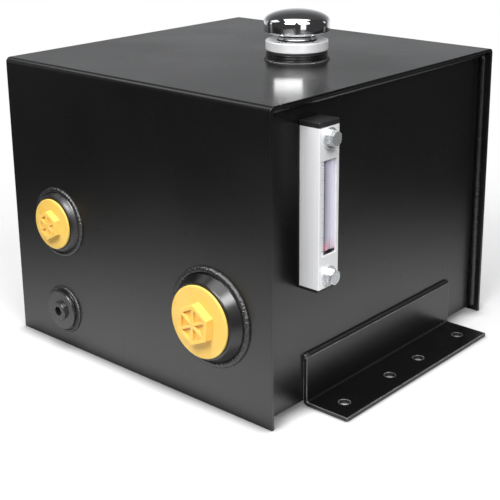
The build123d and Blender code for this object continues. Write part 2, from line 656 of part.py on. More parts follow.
def gauge_seals():
    return per_gauge_bolt(ring(GAUGE_SEAL_RADIUS, GAUGE_BOLT_RADIUS + 1, 0, GAUGE_SEAL))


def gauge_nuts():
    inner = GAUGE_BOLT_RADIUS + 0.1
    nut = hexagon(GAUGE_HEAD_RADIUS, -SHEET - GAUGE_NUT, -SHEET)
    return per_gauge_bolt(nut - Cylinder(inner, 10 * GAUGE_NUT))


def build_nodes():
    """Every sub-part under its node name."""
    nodes = {
        "tank_wrapper": tank_wrapper(),
        "bottom_plate": bottom_plate(),
        "baffle_plate": baffle_plate(),
        "filler_riser": filler_riser(),
        "filler_riser_weld": filler_riser_weld(),
        "flange_gasket": flange_gasket(),
        "filler_flange": filler_flange(),
        "flange_screws": flange_screws(),
        "filler_neck": filler_neck(),
        "neck_seal": neck_seal(),
        "strainer_basket": strainer_basket(),
        "strainer_floor": strainer_floor(),
        "cap_shell": cap_shell(),
        "cap_base": cap_base(),
        "cap_seal": cap_seal(),
        "breather_foam": breather_foam(),
        "cap_stud": cap_stud(),
        "gauge_housing": gauge_housing(),
        "gauge_block_bottom": gauge_block(True),
        "gauge_block_top": gauge_block(False),
        "gauge_tube": gauge_tube(),
        "gauge_scale": gauge_scale(),
        "gauge_lens": gauge_lens(),
        "thermometer_glass": thermometer_glass(),
        "thermometer_spirit": thermometer_spirit(),
        "gauge_cap_bottom": gauge_end_cap(True),
        "gauge_cap_top": gauge_end_cap(False),
        "gauge_bolts": gauge_bolts(),
        "gauge_washers": gauge_washers(),
        "gauge_seals": gauge_seals(),
        "gauge_nuts": gauge_nuts(),
    }
    for side, word in ((1, "right"), (-1, "left")):
        nodes[f"end_panel_{word}"] = end_panel(side)
        nodes[f"end_seam_weld_{word}"] = end_seam_weld(side)
        nodes[f"mounting_angle_{word}"] = mounting_angle(side)
        nodes[f"angle_weld_{word}"] = angle_weld(side)
    for port in PORTS:
        name = port["name"]
        nodes[f"{name}_bung"] = port_bung(port)
        nodes[f"{name}_bung_weld"] = bung_weld(port)
        nodes[f"{name}_plug_seal"] = plug_seal(port)
        nodes[f"{name}_plug"] = drain_plug(port) if port is DRAIN else moulded_plug(port)
    return nodes


os.makedirs("parts", exist_ok=True)
for node_name, node_solid in build_nodes().items():
    export_step(node_solid, f"parts/{node_name}.step")
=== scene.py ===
"""Looks for a hydraulic reservoir.

A black powder-coated tank with a plated breather cap, yellow port plugs, a black drain plug and a gauge.
"""
import json
import math
import bmesh
import bpy
from mathutils import Matrix, Vector


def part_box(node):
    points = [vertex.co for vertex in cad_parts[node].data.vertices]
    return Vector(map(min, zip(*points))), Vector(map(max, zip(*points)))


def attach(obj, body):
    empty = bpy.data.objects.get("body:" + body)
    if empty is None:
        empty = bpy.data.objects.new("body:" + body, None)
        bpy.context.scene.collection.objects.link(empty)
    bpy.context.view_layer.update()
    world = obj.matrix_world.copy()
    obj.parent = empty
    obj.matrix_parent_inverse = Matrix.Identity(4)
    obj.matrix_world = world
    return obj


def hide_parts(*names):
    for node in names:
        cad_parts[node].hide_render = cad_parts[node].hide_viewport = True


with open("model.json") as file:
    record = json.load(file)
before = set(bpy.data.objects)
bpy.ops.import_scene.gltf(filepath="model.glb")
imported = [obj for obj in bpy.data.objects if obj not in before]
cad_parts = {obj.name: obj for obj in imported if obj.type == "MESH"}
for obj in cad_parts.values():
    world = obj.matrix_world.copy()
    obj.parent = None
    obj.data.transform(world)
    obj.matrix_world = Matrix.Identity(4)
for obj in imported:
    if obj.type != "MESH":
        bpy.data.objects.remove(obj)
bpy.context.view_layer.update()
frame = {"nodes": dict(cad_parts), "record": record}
nodes = frame["nodes"]
MM = 0.001

# ---------------------------------------------------------------- places read from the frame
WRAPPER_LOW, WRAPPER_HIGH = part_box("tank_wrapper")
FLANGE_LOW, FLANGE_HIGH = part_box("filler_flange")
DECK = WRAPPER_HIGH.z
FRONT = WRAPPER_LOW.y
FILLER = Vector(((FLANGE_LOW.x + FLANGE_HIGH.x) / 2, (FLANGE_LOW.y + FLANGE_HIGH.y) / 2, DECK))


def half_width(low, high):
    """The radius of a round part, from its box."""
    return (high.x - low.x) / 2


def axis_place(low, high, y=FRONT):
    """Where the axis of a round part on the front meets a plane parallel to the front face."""
    return Vector(((low.x + high.x) / 2, y, (low.z + high.z) / 2))


# ---------------------------------------------------------------- node helpers
def add_node(tree, kind, inputs=None, **settings):
    """A node with its settings and its unlinked inputs' values."""
    node = tree.nodes.new(kind)
    for name, value in settings.items():
        setattr(node, name, value)
    for name, value in (inputs or {}).items():
        node.inputs[name].default_value = value
    return node


def new_material(name, color, roughness, metallic=0.0, **sockets):
    """A Principled material; sockets name further shader inputs with underscores for spaces."""
    material = bpy.data.materials.new(name)
    material.use_nodes = True
    shader = material.node_tree.nodes["Principled BSDF"]
    shader.inputs["Base Color"].default_value = (*color, 1.0)
    shader.inputs["Roughness"].default_value = roughness
    shader.inputs["Metallic"].default_value = metallic
    for socket, value in sockets.items():
        shader.inputs[socket.replace("_", " ")].default_value = value
    return material


def place_vector(tree, offset=(0, 0, 0), scale=(1, 1, 1)):
    """Object coordinates, moved and scaled."""
    coordinates = add_node(tree, "ShaderNodeTexCoord")
    mapping = add_node(tree, "ShaderNodeMapping", {"Location": offset, "Scale": scale})
    tree.links.new(coordinates.outputs["Object"], mapping.inputs["Vector"])
    return mapping.outputs["Vector"]


def noise(tree, vector, scale, detail=3.0):
    """A soft pattern around 0.5, with about scale spots to the metre."""
    texture = add_node(tree, "ShaderNodeTexNoise", {"Scale": scale, "Detail": detail})
    tree.links.new(vector, texture.inputs["Vector"])
    return texture.outputs["Fac"]


def spread(tree, value, low, high, first=0.3, last=0.7):
    """Stretch a 0 to 1 pattern between two values."""
    mapping = add_node(tree, "ShaderNodeMapRange",
                       {"From Min": first, "From Max": last, "To Min": low, "To Max": high})
    tree.links.new(value, mapping.inputs["Value"])
    return mapping.outputs["Result"]


def smooth_step(tree, value, first, last):
    """0 at first and 1 at last, with soft ends."""
    mapping = add_node(tree, "ShaderNodeMapRange", {"From Min": first, "From Max": last},
                       interpolation_type="SMOOTHSTEP")
    tree.links.new(value, mapping.inputs["Value"])
    return mapping.outputs["Result"]


def tint(tree, value, dark, light):
    """A colour that runs from dark to light with a pattern."""
    ramp = add_node(tree, "ShaderNodeValToRGB")
    ramp.color_ramp.elements[0].position = 0.3
    ramp.color_ramp.elements[1].position = 0.7
    ramp.color_ramp.elements[0].color = (*dark, 1)
    ramp.color_ramp.elements[1].color = (*light, 1)
    tree.links.new(value, ramp.inputs["Fac"])
    return ramp.outputs["Color"]


def blend(tree, factor, color, other):
    """A colour socket that turns to another colour by a factor."""
    mix = add_node(tree, "ShaderNodeMix", data_type="RGBA")
    tree.links.new(factor, mix.inputs["Factor"])
    tree.links.new(color, mix.inputs[6])
    mix.inputs[7].default_value = (*other, 1)
    return mix.outputs[2]


def shader_mix(tree, factor, first, second):
    """A shader that turns from the first to the second by a factor."""
    mix = add_node(tree, "ShaderNodeMixShader")
    tree.links.new(factor, mix.inputs["Fac"])
    tree.links.new(first, mix.inputs[1])
    tree.links.new(second, mix.inputs[2])
    return mix.outputs["Shader"]


def relief(material, layers, edge=0.0):
    """Bump layers of (pattern, strength, distance) on a material, over edges rounded by a radius."""
    tree = material.node_tree
    normal = None
    if edge:
        bevel = add_node(tree, "ShaderNodeBevel", {"Radius": edge}, samples=4)
        normal = bevel.outputs["Normal"]
    for value, strength, distance in layers:
        bump = add_node(tree, "ShaderNodeBump", {"Strength": strength, "Distance": distance})
        tree.links.new(value, bump.inputs["Height"])
        if normal:
            tree.links.new(normal, bump.inputs["Normal"])
        normal = bump.outputs["Normal"]
    tree.links.new(normal, tree.nodes["Principled BSDF"].inputs["Normal"])


def drive(material, socket, value):
    """Let a pattern or colour set a shader input."""
    tree = material.node_tree
    tree.links.new(value, tree.nodes["Principled BSDF"].inputs[socket])


# ---------------------------------------------------------------- finishes
def edge_mask(tree, radius, first=0.02, last=0.30):
    """0 on a flat and 1 on an edge, from how far a rounded normal leans away from the true one."""
    rounded = add_node(tree, "ShaderNodeBevel", {"Radius": radius}, samples=6)
    true = add_node(tree, "ShaderNodeNewGeometry")
    lean = add_node(tree, "ShaderNodeVectorMath", operation="DOT_PRODUCT")
    tree.links.new(rounded.outputs["Normal"], lean.inputs[0])
    tree.links.new(true.outputs["Normal"], lean.inputs[1])
    away = add_node(tree, "ShaderNodeMath", {0: 1.0}, operation="SUBTRACT")
    tree.links.new(lean.outputs["Value"], away.inputs[1])
    return spread(tree, away.outputs["Value"], 0.0, 1.0, first, last)


def painted_edge_highlights(tree, vector, body, edge_highlight_color, radius):
    """A body colour that turns, patchily, to a lighter colour along edges: a painted highlight."""
    # painted highlight: edges lightened by the edge mask, broken up by noise
    highlight_share = add_node(tree, "ShaderNodeMath", operation="MULTIPLY")
    tree.links.new(edge_mask(tree, radius), highlight_share.inputs[0])
    tree.links.new(spread(tree, noise(tree, vector, 160.0), 0.45, 1.0), highlight_share.inputs[1])
    return blend(tree, highlight_share.outputs["Value"], body, edge_highlight_color)


def powder_coat(name="powder_coat", edge_highlight_color=(0.014, 0.014, 0.0145), edge=0.0007, edge_highlight_reach=0.0012,
                low=0.25, high=0.31):
    """Satin black powder coat: fine orange peel, slow changes of sheen, and a painted highlight that pales
    its edges.
    """
    material = new_material(name, (0.002, 0.002, 0.0021), 0.28, Specular_IOR_Level=0.9)
    tree = material.node_tree
    vector = place_vector(tree)
    drive(material, "Roughness", spread(tree, noise(tree, vector, 9.0), low, high))
    body = tint(tree, noise(tree, vector, 25.0), (0.0015, 0.0015, 0.0016), (0.0025, 0.0025, 0.0027))
    # painted highlight along the coat's edges
    drive(material, "Base Color", painted_edge_highlights(tree, vector, body, edge_highlight_color, edge_highlight_reach))
    relief(material, [(noise(tree, vector, 900.0), 0.05, 0.0003)], edge=edge)
    return material


def weld_coat():
    """The same coat over a rough weld, a little glossier on its ripples."""
    material = new_material("weld_coat", (0.010, 0.010, 0.0105), 0.30, Specular_IOR_Level=1.0)
    tree = material.node_tree
    vector = place_vector(tree)
    drive(material, "Roughness", spread(tree, noise(tree, vector, 220.0), 0.22, 0.36))
    relief(material, [(noise(tree, vector, 700.0), 0.4, 0.0004)])
    return material


def dull_weld():
    """The coat where it has run thick and matt into a long fillet."""
    material = new_material("dull_weld", (0.003, 0.003, 0.0032), 0.5, Specular_IOR_Level=0.35)
    tree = material.node_tree
    vector = place_vector(tree)
    drive(material, "Roughness", spread(tree, noise(tree, vector, 180.0), 0.42, 0.60))
    relief(material, [(noise(tree, vector, 600.0), 0.4, 0.0004)])
    return material


def turned_aluminium():
    """Lathe-turned aluminium with rings about the filler's axis."""
    material = new_material("turned_aluminium", (0.90, 0.90, 0.91), 0.36, 0.45)
    tree = material.node_tree
    vector = place_vector(tree, offset=tuple(-value for value in FILLER))
    rings = add_node(tree, "ShaderNodeTexWave", {"Scale": 320.0, "Distortion": 0.6, "Detail": 1.0},
                     wave_type="RINGS", rings_direction="Z")
    tree.links.new(vector, rings.inputs["Vector"])
    lines = noise(tree, place_vector(tree, scale=(6, 6, 1600)), 1.0, 2.0)
    drive(material, "Base Color", tint(tree, lines, (0.80, 0.80, 0.81), (0.93, 0.93, 0.94)))
    drive(material, "Roughness", spread(tree, noise(tree, vector, 60.0), 0.28, 0.42))
    relief(material, [(rings.outputs["Fac"], 0.12, 0.0002), (lines, 0.2, 0.0003)], edge=0.0005)
    return material


def anodised():
    """Pale silver anodised extrusion, with faint lines along its length."""
    material = new_material("anodised", (0.80, 0.80, 0.81), 0.42, 0.25)
    tree = material.node_tree
    lines = noise(tree, place_vector(tree, scale=(900, 900, 12)), 1.0, 4.0)
    drive(material, "Base Color", tint(tree, lines, (0.83, 0.83, 0.84), (0.89, 0.89, 0.90)))
    relief(material, [(lines, 0.10, 0.0002)], edge=0.0006)
    return material


def chrome():
    """Bright plating over a pressed dome."""
    material = new_material("chrome_plate", (0.80, 0.80, 0.81), 0.05, 1.0)
    tree = material.node_tree
    vector = place_vector(tree)
    drive(material, "Roughness", spread(tree, noise(tree, vector, 40.0), 0.03, 0.09))
    relief(material, [(noise(tree, vector, 18.0, 1.0), 0.06, 0.002)])
    return material


def zinc():
    """Bright zinc on bolts and washers."""
    material = new_material("bright_zinc", (0.72, 0.74, 0.76), 0.22, 0.75)
    tree = material.node_tree
    vector = place_vector(tree)
    drive(material, "Roughness", spread(tree, noise(tree, vector, 300.0), 0.16, 0.34))
    relief(material, [(noise(tree, vector, 500.0), 0.12, 0.0002)], edge=0.0004)
    return material


def yellow_plastic():
    """Moulded yellow polythene, slightly waxy, with a painted highlight along its edges."""
    material = new_material("yellow_plastic", (0.84, 0.53, 0.12), 0.40, Subsurface_Weight=0.45,
                            Subsurface_Scale=0.006, Subsurface_Radius=(1.0, 0.85, 0.35))
    tree = material.node_tree
    vector = place_vector(tree)
    body = tint(tree, noise(tree, vector, 70.0), (0.84, 0.515, 0.10), (0.87, 0.56, 0.14))
    # painted highlight: a pale rim along the disc's and boss's edges
    drive(material, "Base Color", painted_edge_highlights(tree, vector, body, (0.95, 0.72, 0.30), 0.0012))
    drive(material, "Roughness", spread(tree, noise(tree, vector, 200.0), 0.34, 0.46))
    relief(material, [(noise(tree, vector, 600.0), 0.12, 0.0003)])
    return material


def black_plastic(name="black_plastic", low=0.36, high=0.50, grain=0.25, gloss=0.5):
    """Moulded black nylon with a fine spark texture and a painted highlight along its edges."""
    material = new_material(name, (0.022, 0.022, 0.024), 0.42, Specular_IOR_Level=gloss)
    tree = material.node_tree
    vector = place_vector(tree)
    body = tint(tree, noise(tree, vector, 90.0), (0.010, 0.010, 0.011), (0.018, 0.018, 0.019))
    # painted highlight: edges lightened to grey
    drive(material, "Base Color", painted_edge_highlights(tree, vector, body, (0.14, 0.14, 0.145), 0.0009))
    drive(material, "Roughness", spread(tree, noise(tree, vector, 150.0), low, high))
    relief(material, [(noise(tree, vector, 1300.0), grain, 0.0002)], edge=0.0005)
    return material


def rubber():
    """Matt black rubber of seals and the flange gasket."""
    material = new_material("black_rubber", (0.012, 0.012, 0.012), 0.6)
    tree = material.node_tree
    vector = place_vector(tree)
    drive(material, "Roughness", spread(tree, noise(tree, vector, 120.0), 0.5, 0.7))
    relief(material, [(noise(tree, vector, 900.0), 0.2, 0.0002)])
    return material


def foam():
    """Open-cell breather foam, painted darker in the pits of its cells as painted shade."""
    material = new_material("foam", (0.10, 0.10, 0.11), 0.95)
    tree = material.node_tree
    cells = add_node(tree, "ShaderNodeTexVoronoi", {"Scale": 1400.0})
    tree.links.new(place_vector(tree), cells.inputs["Vector"])
    depth = cells.outputs["Distance"]
    # painted shade: the deeper a spot in a cell, the darker it is painted
    drive(material, "Base Color", tint(tree, depth, (0.03, 0.03, 0.035), (0.20, 0.20, 0.21)))
    relief(material, [(depth, 0.8, 0.0006)])
    return material


def clear_plastic():
    """Clear, faintly lilac plastic."""
    material = new_material("clear_plastic", (0.84, 0.83, 0.95), 0.06, Transmission_Weight=0.9, IOR=1.46)
    tree = material.node_tree
    drive(material, "Roughness", spread(tree, noise(tree, place_vector(tree), 90.0), 0.03, 0.12))
    return material


LENS_PINK = 12 * MM  # how far up the lens the spirit's colour shows
# the lens's front side is painted darker over this width, as painted shade
LENS_SHADE = 7 * MM  # how far across the lens its shaded side reaches


def thermometer_shadow_glass():
    """Glass coloured dark as a painted shadow along the scale's edge: it reads as a dark line between the
    scale and the lens.
    """
    material = new_material("thermometer_shadow_glass", (0.16, 0.17, 0.23), 0.08, Coat_Weight=0.6)
    tree = material.node_tree
    clouds = noise(tree, place_vector(tree), 150.0)
    drive(material, "Base Color", tint(tree, clouds, (0.14, 0.15, 0.20), (0.20, 0.21, 0.28)))
    return material


def lens_plastic():
    """Milky lilac plastic that fills the window beside the scale, painted darker towards its front side as
    painted shade.
    """
    material = new_material("lens_plastic", (0.66, 0.64, 0.76), 0.16)
    tree = material.node_tree
    vector = place_vector(tree)
    parts = add_node(tree, "ShaderNodeSeparateXYZ")
    tree.links.new(vector, parts.inputs["Vector"])
    lens_low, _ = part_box("gauge_lens")
    # painted shade: darker towards the lens's front side
    across = spread(tree, parts.outputs["Y"], 0.2, 0.8, lens_low.y, lens_low.y + LENS_SHADE)
    body = tint(tree, across, (0.38, 0.37, 0.44), (0.68, 0.66, 0.78))
    foot = spread(tree, parts.outputs["Z"], 0.75, 0.0, lens_low.z, lens_low.z + LENS_PINK)
    drive(material, "Base Color", blend(tree, foot, body, (0.62, 0.36, 0.42)))
    drive(material, "Roughness", spread(tree, noise(tree, vector, 90.0), 0.10, 0.22))
    return material


def white_strip():
    """White plastic behind the gauge's marks."""
    material = new_material("white_strip", (0.90, 0.90, 0.93), 0.45)
    tree = material.node_tree
    drive(material, "Roughness", spread(tree, noise(tree, place_vector(tree), 200.0), 0.4, 0.5))
    return material


def printed_ink():
    """Blue-black ink of the gauge's marks."""
    material = new_material("printed_ink", (0.02, 0.02, 0.05), 0.5)
    tree = material.node_tree
    drive(material, "Roughness", spread(tree, noise(tree, place_vector(tree), 400.0), 0.4, 0.6))
    return material


def red_spirit():
    """Dyed spirit in the thermometer."""
    material = new_material("red_spirit", (0.55, 0.03, 0.06), 0.2, Coat_Weight=0.5)
    tree = material.node_tree
    clouds = noise(tree, place_vector(tree), 200.0)
    drive(material, "Base Color", tint(tree, clouds, (0.45, 0.02, 0.04), (0.65, 0.06, 0.10)))
    return material


def make_finishes():
    """The finish of each material slot, and the ink of the printed marks."""
    seal_rubber = rubber()
    return {
        "powder_coat": powder_coat(), "weld": weld_coat(), "machined_aluminium": turned_aluminium(),
        "anodised_aluminium": anodised(), "chrome": chrome(), "zinc_steel": zinc(),
        "yellow_plastic": yellow_plastic(), "black_plastic": black_plastic(), "black_rubber": seal_rubber,
        "gasket": seal_rubber, "foam": foam(), "clear_plastic": clear_plastic(),
        "white_plastic": white_strip(), "red_spirit": red_spirit(), "ink": printed_ink(),
    }


def finish_cad_nodes(finishes, own):
    """Give every CAD node its own finish, or else that of its material slot."""
    for part in frame["record"]["subparts"]:
        for slot in nodes[part["node"]].material_slots:
            slot.material = own.get(part["node"], finishes[part["material_slot"]])


# ---------------------------------------------------------------- mesh helpers
MERGE_DISTANCE = 1e-6
EDGE_ANGLE = 35  # degrees past which an edge counts as sharp


def in_scene(name, data):
    """An object for some data, linked into the scene."""
    item = bpy.data.objects.new(name, data)
    bpy.context.collection.objects.link(item)
    return item


def mesh_object(name, mesh, finish):
    """A bmesh as an object with one finish."""
    data = bpy.data.meshes.new(name)
    mesh.to_mesh(data)
    mesh.free()
    data.materials.append(finish)
    return in_scene(name, data)


def mesh_piece(name, mesh, finish, body, slot, *replaced):
    """Put a finished bmesh into the scene as one piece that rides on a body."""
    bmesh.ops.remove_doubles(mesh, verts=mesh.verts, dist=MERGE_DISTANCE)
    bmesh.ops.recalc_face_normals(mesh, faces=mesh.faces)
    return register(mesh_object(name, mesh, finish), body, slot, *replaced)


def register(piece, body, slot, *replaced):
    """Attach a piece to its body and hide the nodes it stands for; its material slot is not used."""
    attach(piece, body)
    if replaced:
        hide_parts(*replaced)
    return piece


def shade_by_angle(piece, degrees=EDGE_ANGLE):
    """Smooth shading with sharp edges kept past an angle."""
    data = piece.data
    data.polygons.foreach_set("use_smooth", [True] * len(data.polygons))
    data.set_sharp_from_angle(angle=math.radians(degrees))


def rounded_edges(piece, width, segments=3):
    """Round a piece's sharp edges over."""
    bevel = piece.modifiers.new("rounded_edges", "BEVEL")
    bevel.width = width
    bevel.segments = segments
    bevel.limit_method = "ANGLE"
    bevel.angle_limit = math.radians(EDGE_ANGLE)
    bevel.harden_normals = False


def full_turn(count):
    """Angles that share out a full turn."""
    return [2 * math.pi * step / count for step in range(count)]


def front_point(centre, radius, angle, height):
    """A point about an axis that leaves the front face: height is measured out along -Y from centre."""
    along, up = radius * math.cos(angle), radius * math.sin(angle)
    return Vector((centre.x + along, centre.y - height, centre.z + up))


def up_point(foot, radius, angle, height):
    """A point about a vertical axis: height is measured up from its foot."""
    return foot + Vector((radius * math.cos(angle), radius * math.sin(angle), height))


def skin(mesh, loops, segments, closed=False):
    """Join each loop of vertices to the next; a loop of a single vertex is a pole."""
    following_loops = loops[1:] + loops[:1] if closed else loops[1:]
    for first, second in zip(loops, following_loops):
        for step in range(segments):
            following = (step + 1) % segments
            corners = [first[step % len(first)], first[following % len(first)],
                       second[following % len(second)], second[step % len(second)]]
            mesh.faces.new(list(dict.fromkeys(corners)))


# ---------------------------------------------------------------- spun cap
SPUN_SEGMENTS = 160
CAP_SHEET = 1.0 * MM
CAP_HEM = 1.0 * MM
CAP_RISE = 11.5 * MM
CAP_DOME_STEPS = 40
CAP_HEM_STEPS = 6


def spun(mesh, point_at, origin, outline, closed=False):
    """Skin an outline of (radius, height) about an axis through origin; points on the axis close it."""
    loops = []
    for radius, height in outline:
        angles = full_turn(SPUN_SEGMENTS) if radius else [0.0]
        loops.append([mesh.verts.new(point_at(origin, radius, angle, height)) for angle in angles])
    skin(mesh, loops, SPUN_SEGMENTS, closed)


def dome_points(radius, side_bottom, side_top, apex):
    """The dome's outline from its axis out over the top and down the side."""
    steps = [math.pi / 2 * (1 - step / CAP_DOME_STEPS) for step in range(CAP_DOME_STEPS + 1)]
    curve = [(radius * math.cos(turn) if step else 0.0, side_top + (apex - side_top) * math.sin(turn))
             for step, turn in enumerate(steps)]
    return curve + [(radius, side_bottom)]


def plated_dome(finish):
    """The cap's pressed dome, with its edge rolled round."""
    low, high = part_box("cap_shell")
    radius = half_width(low, high)
    side_top = high.z - CAP_RISE
    outline = dome_points(radius, low.z + CAP_HEM, side_top, high.z)
    for step in range(1, CAP_HEM_STEPS + 1):
        turn = math.pi * step / CAP_HEM_STEPS
        across, down = CAP_HEM * math.cos(turn), CAP_HEM * math.sin(turn)
        outline.append((radius - CAP_HEM + across, low.z + CAP_HEM - down))
    outline += reversed(dome_points(radius - CAP_SHEET, low.z + 2 * CAP_HEM, side_top, high.z - CAP_SHEET))
    mesh = bmesh.new()
    spun(mesh, up_point, Vector((FILLER.x, FILLER.y, 0)), outline)
    piece = mesh_piece("cap_shell_shown", mesh, finish, "cap", "chrome", "cap_shell")
    shade_by_angle(piece, 50)


# ---------------------------------------------------------------- bung skirts
SKIRT_SINK = 0.4 * MM
SKIRT_LIFT = 0.05 * MM
SKIRT_FULLNESS = 0.8
SKIRT_STEPS = 14


def bung_skirt(port, face_radius, bulge, finish):
    """The rounded, coated shoulder round a bung: a shell over its cone that swells between foot and face."""
    low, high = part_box(f"{port}_bung")
    base = half_width(low, high)
    stand = FRONT - low.y
    slope = Vector((stand, base - face_radius)).normalized()
    outside, inside = [], []
    for step in range(SKIRT_STEPS + 1):
        along = step / SKIRT_STEPS
        radius, height = base + (face_radius - base) * along, stand * along
        swell = bulge * math.sin(math.pi * along) ** SKIRT_FULLNESS
        outside.append((radius + slope.x * swell, height + slope.y * swell + SKIRT_LIFT * along))
        inside.append((radius - slope.x * SKIRT_SINK, height - slope.y * SKIRT_SINK))
    mesh = bmesh.new()
    spun(mesh, front_point, axis_place(low, high), outside + inside[::-1], closed=True)
    piece = mesh_piece(f"{port}_bung_skirt", mesh, finish, "tank", "powder_coat")
    shade_by_angle(piece, 40)


# ---------------------------------------------------------------- moulded plugs
PLUG_SEGMENTS = 144
PLUG_DISC_ROUND = 1.1 * MM
PLUG_THREAD_DEPTH = 1.1 * MM
PLUG_THREAD_ROW = 0.28 * MM
PLUG_PITCH = 2.209 * MM
PLUG_TIP_TAPER = 1.5  # thread depths that the shank's end is smaller than its crests
PLUG_WALL = 3.0 * MM
PLUG_WEB = 0.4 * MM  # how far the hollow shank stops short of the disc
PLUG_EDGE = 0.35 * MM
BOSS_WALL = 3.4 * MM
BOSS_RIB = 2.6 * MM
BOSS_SINK = 0.3 * MM
BOSS_DRAFT = 0.97  # top radius over foot radius
BOSS_POCKET = 0.34  # pocket depth over boss height
POCKET_DRAFT = 0.4 * MM
POCKET_BACK_DRAFT = 0.2 * MM


def thread_radius(crest, along, angle):
    """A sharp-crested helical thread's radius at a place along its shank."""
    phase = (along / PLUG_PITCH - angle / (2 * math.pi)) % 1.0
    return crest - PLUG_THREAD_DEPTH * abs(2 * phase - 1)


def plug_rings(radius, thickness, shank, length):
    """The plug's outline from the disc's middle to the shank's inside, as (height, radius function)."""
    rings = [(0.0, lambda angle: 0.0)]
    for step in range(7):
        turn = math.radians(15 * step)
        rim = radius - PLUG_DISC_ROUND + PLUG_DISC_ROUND * math.sin(turn)
        height = PLUG_DISC_ROUND * (math.cos(turn) - 1)
        rings.append((height, lambda angle, rim=rim: rim))
    rings.append((-thickness, lambda angle: radius))
    rings.append((-thickness, lambda angle: shank - PLUG_THREAD_DEPTH))
    rows = int(length / PLUG_THREAD_ROW)
    for row in range(1, rows):
        along = row * length / rows
        fade = min(1.0, along / PLUG_PITCH, (length - along) / PLUG_PITCH)
        rings.append((-thickness - along, lambda angle, along=along, fade=fade: (
            shank - PLUG_THREAD_DEPTH
            + fade * (thread_radius(shank, along, angle) - shank + PLUG_THREAD_DEPTH))))
    inside = shank - PLUG_THREAD_DEPTH - PLUG_WALL
    rings.append((-thickness - length, lambda angle: shank - PLUG_TIP_TAPER * PLUG_THREAD_DEPTH))
    rings.append((-thickness - length, lambda angle: inside))
    rings.append((-thickness - PLUG_WEB, lambda angle: inside))
    rings.append((-thickness - PLUG_WEB, lambda angle: 0.0))
    return rings


def turned_plug(mesh, centre, rings):
    """Skin the rings into a closed shell about the plug's axis."""
    loops = []
    for height, radius_at in rings:
        angles = full_turn(PLUG_SEGMENTS) if radius_at(0.0) else [0.0]
        points = [front_point(centre, radius_at(angle), angle, height) for angle in angles]
        loops.append([mesh.verts.new(point) for point in points])
    skin(mesh, loops, PLUG_SEGMENTS)


def hexagon_boss(mesh, centre, radius, height, turn):
    """A drafted hexagonal boss with six triangular pockets between three ribs."""
    half_side = math.pi / 6
    flat = radius * BOSS_DRAFT * math.cos(half_side) - BOSS_WALL
    near = BOSS_RIB / 2 / math.sin(half_side)
    half = (flat - near) * math.tan(half_side)
    bottom = height * (1 - BOSS_POCKET)
    mouth_places = [(near, 0), (flat, -half), (flat, half)]
    back = flat - POCKET_BACK_DRAFT
    base_places = [(near + POCKET_DRAFT, 0), (back, POCKET_DRAFT - half), (back, half - POCKET_DRAFT)]
    corners = [turn + step * math.pi / 3 for step in range(6)]
    top = [mesh.verts.new(front_point(centre, radius * BOSS_DRAFT, angle, height)) for angle in corners]
    foot = [mesh.verts.new(front_point(centre, radius, angle, -BOSS_SINK)) for angle in corners]
    hub = mesh.verts.new(front_point(centre, 0, 0, height))
    for step in range(6):
        following = (step + 1) % 6
        mesh.faces.new([foot[step], foot[following], top[following], top[step]])
        bisector = corners[step] + half_side

        def pocket_corners(places, level):
            return [mesh.verts.new(front_point(centre, math.hypot(along, across),
                                               bisector + math.atan2(across, along), level))
                    for along, across in places]

        mouth = pocket_corners(mouth_places, height)
        base = pocket_corners(base_places, bottom)
        mesh.faces.new([hub, top[step], mouth[1], mouth[0]])
        mesh.faces.new([top[step], top[following], mouth[2], mouth[1]])
        mesh.faces.new([top[following], hub, mouth[0], mouth[2]])
        for side in range(3):
            after = (side + 1) % 3
            mesh.faces.new([mouth[side], mouth[after], base[after], base[side]])
        mesh.faces.new(base)
    mesh.faces.new(list(reversed(foot)))


def moulded_plug(port, boss_radius, boss_height, turn, shank, finish):
    """A yellow thread plug: round-edged disc, hexagonal boss turned by some degrees and threaded shank."""
    plug = f"{port}_plug"
    low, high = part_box(plug)
    seal_low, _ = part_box(f"{plug}_seal")
    top = low.y + boss_height
    centre = axis_place(low, high, top)
    mesh = bmesh.new()
    rings = plug_rings(half_width(low, high), seal_low.y - top, shank, high.y - seal_low.y)
    turned_plug(mesh, centre, rings)
    hexagon_boss(mesh, centre, boss_radius, boss_height, math.radians(turn))
    piece = mesh_piece(f"{plug}_shown", mesh, finish, plug, "yellow_plastic", plug)
    rounded_edges(piece, PLUG_EDGE)
    shade_by_angle(piece)


# ---------------------------------------------------------------- things that repeat, by geometry nodes
def new_tree(name, geometry_in, sizes, geometry_out):
    """A geometry tree with one geometry in, named sizes with usual values, a finish and one geometry out."""
    tree = bpy.data.node_groups.new(name, "GeometryNodeTree")
    tree.interface.new_socket(geometry_in, in_out="INPUT", socket_type="NodeSocketGeometry")
    for size_name, value in sizes.items():
        item = tree.interface.new_socket(size_name, in_out="INPUT", socket_type="NodeSocketFloat")
        item.default_value = value
    tree.interface.new_socket("Finish", in_out="INPUT", socket_type="NodeSocketMaterial")
    tree.interface.new_socket(geometry_out, in_out="OUTPUT", socket_type="NodeSocketGeometry")
    return tree


def link_all(tree, links):
    """Link (source node, output name, target node, input name) rows."""
    for source, out_name, target, in_name in links:
        tree.links.new(source.outputs[out_name], target.inputs[in_name])


def socket_identifier(tree, name):
    """The identifier that a modifier knows an input by."""
    items = tree.interface.items_tree
    return next(item.identifier for item in items if item.name == name and item.in_out == "INPUT")


